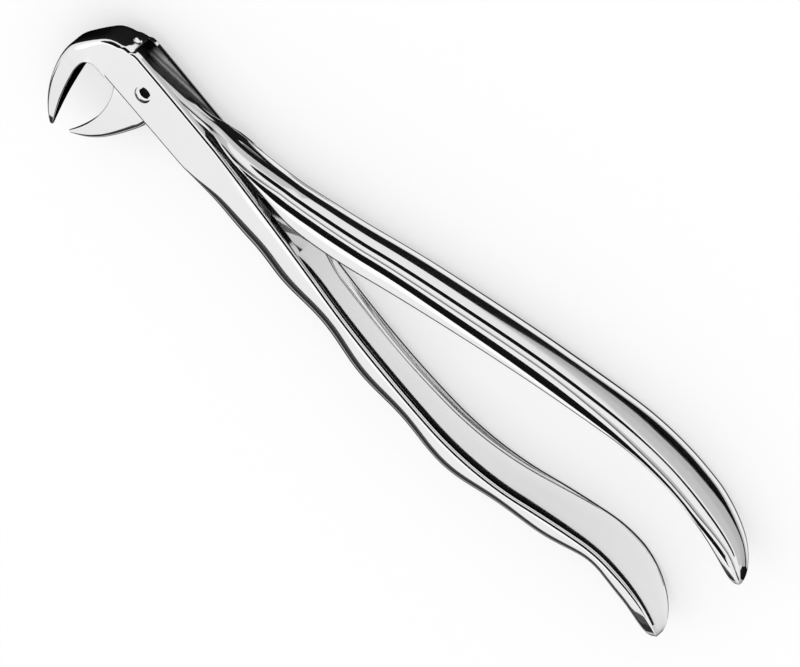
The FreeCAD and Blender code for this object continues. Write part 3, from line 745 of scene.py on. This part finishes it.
class Finish:
    """One material or the world, with its node tree."""

    def __init__(self, owner):
        self.owner = owner
        owner.use_nodes = True
        self.tree = owner.node_tree
        self.tree.nodes.clear()

    def add(self, kind, settings=None, inputs=None):
        """Adds a node: first its settings, then the values or links of its sockets."""
        node = self.tree.nodes.new(kind)
        for name, value in (settings or {}).items():
            setattr(node, name, value)
        for name, value in (inputs or {}).items():
            socket = node.inputs[name] if isinstance(name, int) else next(
                item for item in node.inputs if item.name == name and item.enabled)
            if isinstance(value, Wire):
                self.tree.links.new(value.socket, socket)
            else:
                socket.default_value = value
        return Outputs(self, node)


def material(name):
    """A new, empty material."""
    return Finish(bpy.data.materials.new(name))


def dress(piece, finish):
    """Gives a piece its material."""
    piece.data.materials.clear()
    piece.data.materials.append(finish.owner)


# %% [markdown]
# ## Mirror-polished stainless steel
# Stainless steel is a slightly warm, light grey metal. After the last buffing wheel it is
# almost a mirror, but not quite evenly so: faint lines run along the handles, and slow
# patches are a touch duller where the wheel dwelt. The walls of the slot are never
# reached by a wheel, so they keep the finish of the milling cutter, grainy and rough.
# Their colour is also darkened, which is painted shade of the recess, strongest
# towards the slot's beak end. The slot is in the female lever, so only its steel gets the
# milled walls and the painted shade.

# %% Steel
EDGE_TINT = (0.05, 0.05, 0.05, 1.0)  # darkens the steel where it turns away from the eye


def steel(name, tint, milled_and_shaded=0.0):
    """Polished steel with faint buffing lines along the tool."""
    finish = material(name)
    place = finish.add("ShaderNodeTexCoord")["Object"]
    apart = finish.add("ShaderNodeSeparateXYZ", None, {"Vector": place})
    x, y, z = (apart[axis] / MM for axis in "XYZ")
    along = finish.add("ShaderNodeMapping", None, {"Vector": place, "Scale": (60.0, 1100.0, 1100.0)})
    lines = finish.add("ShaderNodeTexNoise", None, {
        "Vector": along["Vector"], "Scale": 1.0, "Detail": 4.0, "Roughness": 0.6})["Fac"]
    patches = finish.add("ShaderNodeTexNoise", None, {
        "Vector": place, "Scale": 70.0, "Detail": 2.0, "Roughness": 0.5})["Fac"]
    milled = finish.add("ShaderNodeTexNoise", None, {
        "Vector": place, "Scale": 1700.0, "Detail": 5.0, "Roughness": 0.75})["Fac"]

    fall = (FLOOR_END[1] - FLOOR_START[1]) / (FLOOR_END[0] - FLOOR_START[0])
    floor = (x - FLOOR_START[0]) * fall + FLOOR_START[1]
    inside = (abs(z - BOX_THICK / 2).step(2.86, 2.72) * x.step(-8.3, -7.9) * x.step(49.0, 47.5)
              * (y - floor).step(-0.2, 0.1))
    wall = inside * milled_and_shaded

    # painted shade: the slot walls get darker towards the beak end of the slot, where shade falls
    # deep in the slot
    shade = 1 - wall * x.step(-2.0, -6.5) * 0.8  # darker towards the beak end of the slot
    # the slot walls' tone is lowered partly by the milled grain and partly as an even painted shade
    # of the recess
    tone = (1 - patches * 0.05 - wall * (0.2 + milled * 0.4)) * shade
    colour = finish.add("ShaderNodeVectorMath", {"operation": "SCALE"},
                        {"Vector": tint, "Scale": tone})["Vector"]
    rough = 0.035 + lines * 0.05 + patches * 0.035 + wall * 0.25
    height = lines * (1 - wall) * 0.12 + milled * wall * 2.5
    bump = finish.add("ShaderNodeBump", None, {
        "Strength": 0.25, "Distance": 0.02 * MM, "Height": height})["Normal"]
    shader = finish.add("ShaderNodeBsdfPrincipled", None, {
        "Base Color": colour, "Specular Tint": EDGE_TINT, "Metallic": 1.0,
        "Roughness": rough, "Normal": bump})["BSDF"]
    finish.add("ShaderNodeOutputMaterial", None, {"Surface": shader})
    print("%s: %d nodes" % (name, len(finish.tree.nodes)))
    return finish


lever_steel = steel("polished_steel", (0.86, 0.86, 0.865), milled_and_shaded=1.0)
rivet_steel = steel("rivet_steel", (0.84, 0.84, 0.85))
bare_steel = steel("bare_steel", (0.86, 0.86, 0.865))
dress(female, lever_steel)
dress(male, bare_steel)
dress(rivet, rivet_steel)

# %% [markdown]
# ## The studio
# A mirror shows its room, so the room is drawn with care. It is white all round, and the
# tool lies on a pale table. Cards stand in for the flags that a studio sets up: a broad
# black one round the lens and two dark ones along the far side. Black sheets on the table
# close to the levers and their ends are painted shadow, laid where the tool's shadow falls
# on the table. Together they draw the dark lines along every rounded edge. A pale grey
# sheet beside the smooth handle is painted shade too; it softens its outer line, and a
# narrow white box beside the lens card gives a bright one. The camera doesn't see any of
# them, only the steel does, and they throw no shadow. The price is paid from straight
# above, where the flat faces show the black card.

# %% Table and cards
def plain(name, grey, glow=0.0):
    """A matt finish for the studio, with a glow that only the eye and mirrors see."""
    finish = material(name)
    matt = finish.add("ShaderNodeBsdfDiffuse", None, {"Color": (grey, grey, grey, 1.0)})["BSDF"]
    rays = finish.add("ShaderNodeLightPath")
    seen = rays["Is Camera Ray"] + rays["Is Glossy Ray"] + rays["Is Transmission Ray"]
    light = finish.add("ShaderNodeEmission", None, {"Strength": seen * glow})["Emission"]
    both = finish.add("ShaderNodeAddShader", None, {0: matt, 1: light})["Shader"]
    finish.add("ShaderNodeOutputMaterial", None, {"Surface": both})
    return finish


def stage(name, work, finish):
    """Makes a piece of the studio from a bmesh."""
    mesh = bpy.data.meshes.new(name)
    work.to_mesh(mesh)
    work.free()
    mesh.materials.append(finish.owner)
    thing = link(name, mesh)
    return thing


def only_in_reflections(thing):
    """Hides a card from the camera and from the light on the table."""
    thing.visible_camera = False
    thing.visible_diffuse = False
    thing.visible_shadow = False


low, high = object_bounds()
table = bmesh.new()
bmesh.ops.create_grid(table, x_segments=1, y_segments=1, size=9.0)
bmesh.ops.translate(table, verts=table.verts, vec=(0.0, 0.0, low.z))
stage("table", table, plain("table_white", 0.45, glow=0.55))


def card(name, start, stop, finish, reach=1.0, half_length=1.5, centre=0.07):
    """A card bent round the tool, from one angle to another. Angles are measured from
    straight up towards the smooth handle's side."""
    work = bmesh.new()
    turn = Matrix.Rotation(-math.radians(start), 3, "X")
    ends = [turn @ Vector((centre + way * half_length, 0.0, reach)) for way in (-1, 1)]
    corners = [work.verts.new(end) for end in ends]
    edge = work.edges.new(corners)
    bmesh.ops.spin(work, geom=[edge, *corners], cent=(0, 0, 0), axis=(1, 0, 0),
                   angle=-math.radians(stop - start), steps=16)
    only_in_reflections(stage(name, work, finish))


def table_shadow_strip(name, line, length, right_side, left_side, finish):
    """A painted shadow: a sheet on the table along a lever, from one distance on its right to
    one on its left.
    Each distance is a course of knots, in millimetres, over the lever's length."""
    rows = 60
    work = bmesh.new()
    corners = bmesh.ops.create_grid(work, x_segments=rows, y_segments=1, size=0.5)["verts"]
    for corner in corners:
        way = corner.co.x + 0.5
        place, heading = line.at(length * way)
        offset = course(way, *(left_side if corner.co.y > 0 else right_side))
        spot = place + cmath.rect(offset, heading + math.pi / 2)
        corner.co = (spot.real * MM, spot.imag * MM, low.z + 0.05 * MM)
    only_in_reflections(stage(name, work, finish))


def table_shadow_sheet(name, corners, finish):
    """A painted shadow: a sheet on the table with the given corners, in millimetres."""
    work = bmesh.new()
    spots = [work.verts.new((x * MM, y * MM, low.z + 0.04 * MM)) for x, y in corners]
    work.faces.new(spots)
    only_in_reflections(stage(name, work, finish))


black = plain("card_black", 0.015)
grey = plain("card_grey", 0.16)
bright = plain("box_white", 0.5, glow=1.0)
card("far_card_low", -68.0, -91.0, plain("card_dark", 0.06), reach=0.13, half_length=0.18,
     centre=0.12)
card("far_card_high", -54.0, -68.0, grey, reach=0.13, half_length=0.14, centre=0.16)
card("lens_card", -24.0, 56.0, black)
card("side_box", -40.0, -25.0, bright)
# painted shadow: a black sheet on the table beside the female lever, where the tool's shadow falls
table_shadow_strip("female_paper", female_line, female_length, ((0.0, -40.0), (1.0, -36.0)),
           ((0.24, 0.0), (0.31, 3.5), (1.0, 3.5)), black)
# painted shadow: a black sheet along the male lever, and the course of its edge towards the pale one
male_edge = ((0.0, 5.5), (0.2, 9.0), (0.35, 10.0), (0.5, 9.2), (0.65, 7.5), (0.8, 5.5),
             (1.0, 5.0))
table_shadow_strip("male_paper", male_line, male_length, ((0.0, 1.0), (0.45, 2.0), (0.6, -4.0)),
           male_edge, black)
# painted shade: a pale grey sheet on the table beyond the black one, for the lighter shade beside the
# smooth handle
table_shadow_strip("male_skirt", male_line, male_length, male_edge, ((0.0, 14.0), (1.0, 14.0)),
           plain("card_pale", 0.7))
# painted shadow: black sheets on the table round both tips
for name, line, length, inner in (("female_end_paper", female_line, female_length, -1),
                                  ("male_end_paper", male_line, male_length, 8)):
    tip, heading = line.at(length)
    square = [tip + cmath.rect(1.0, heading) * complex(along, across)
              for along, across in ((-3, -8), (5, -8), (5, inner), (-3, inner))]
    table_shadow_sheet(name, [(spot.real, spot.imag) for spot in square], black)
# painted shadow: a black sheet on the table round the beaks
table_shadow_sheet("beak_paper", [(-60, -60), (-7, -60), (-7, 9), (-14, 12), (-60, 40)], black)
studio = [thing for thing in SCENE.objects if not thing.visible_camera]
print("%d cards and papers that only the steel sees" % len(studio))

# %% [markdown]
# ## Light
# The world itself is the lamp: an even white all round, as in a light tent.

# %% World
world = bpy.data.worlds.new("light_tent")
SCENE.world = world
tent = Finish(world)
sky = tent.add("ShaderNodeBackground", None, {"Color": (1.0, 1.0, 1.0, 1.0), "Strength": 1.0})
tent.add("ShaderNodeOutputWorld", None, {"Surface": sky["Background"]})
print("world: %d nodes" % len(tent.tree.nodes))

# %% [markdown]
# ## Camera
# The view looks down on the rivet's side from over the smooth handle, and the camera is
# rolled, so that the beaks point up and to the left. A very long lens keeps the two
# levers in proportion.

# %% Camera
TILT = math.radians(43.0)
ROLL = math.radians(49.08)
SEEN = 166.1 * MM
LENS = 1000.0
back = Vector((0.0, math.sin(TILT), math.cos(TILT)))
level = Vector((1.0, 0.0, 0.0))
rise = back.cross(level)
right = level * math.cos(ROLL) + rise * math.sin(ROLL)
up = rise * math.cos(ROLL) - level * math.sin(ROLL)
aim = Vector((72.44, 6.07, 3.25)) * MM

lens = bpy.data.cameras.new("camera")
lens.lens = LENS
camera = link("camera", lens)
away = SEEN * LENS / lens.sensor_width
camera.matrix_world = Matrix.Translation(aim + back * away) @ Matrix(
    (right, up, back)).transposed().to_4x4()
lens.clip_end = away * 3
SCENE.camera = camera
SCENE.view_settings.view_transform = "Standard"
print("camera %.2f m from the tool" % away)
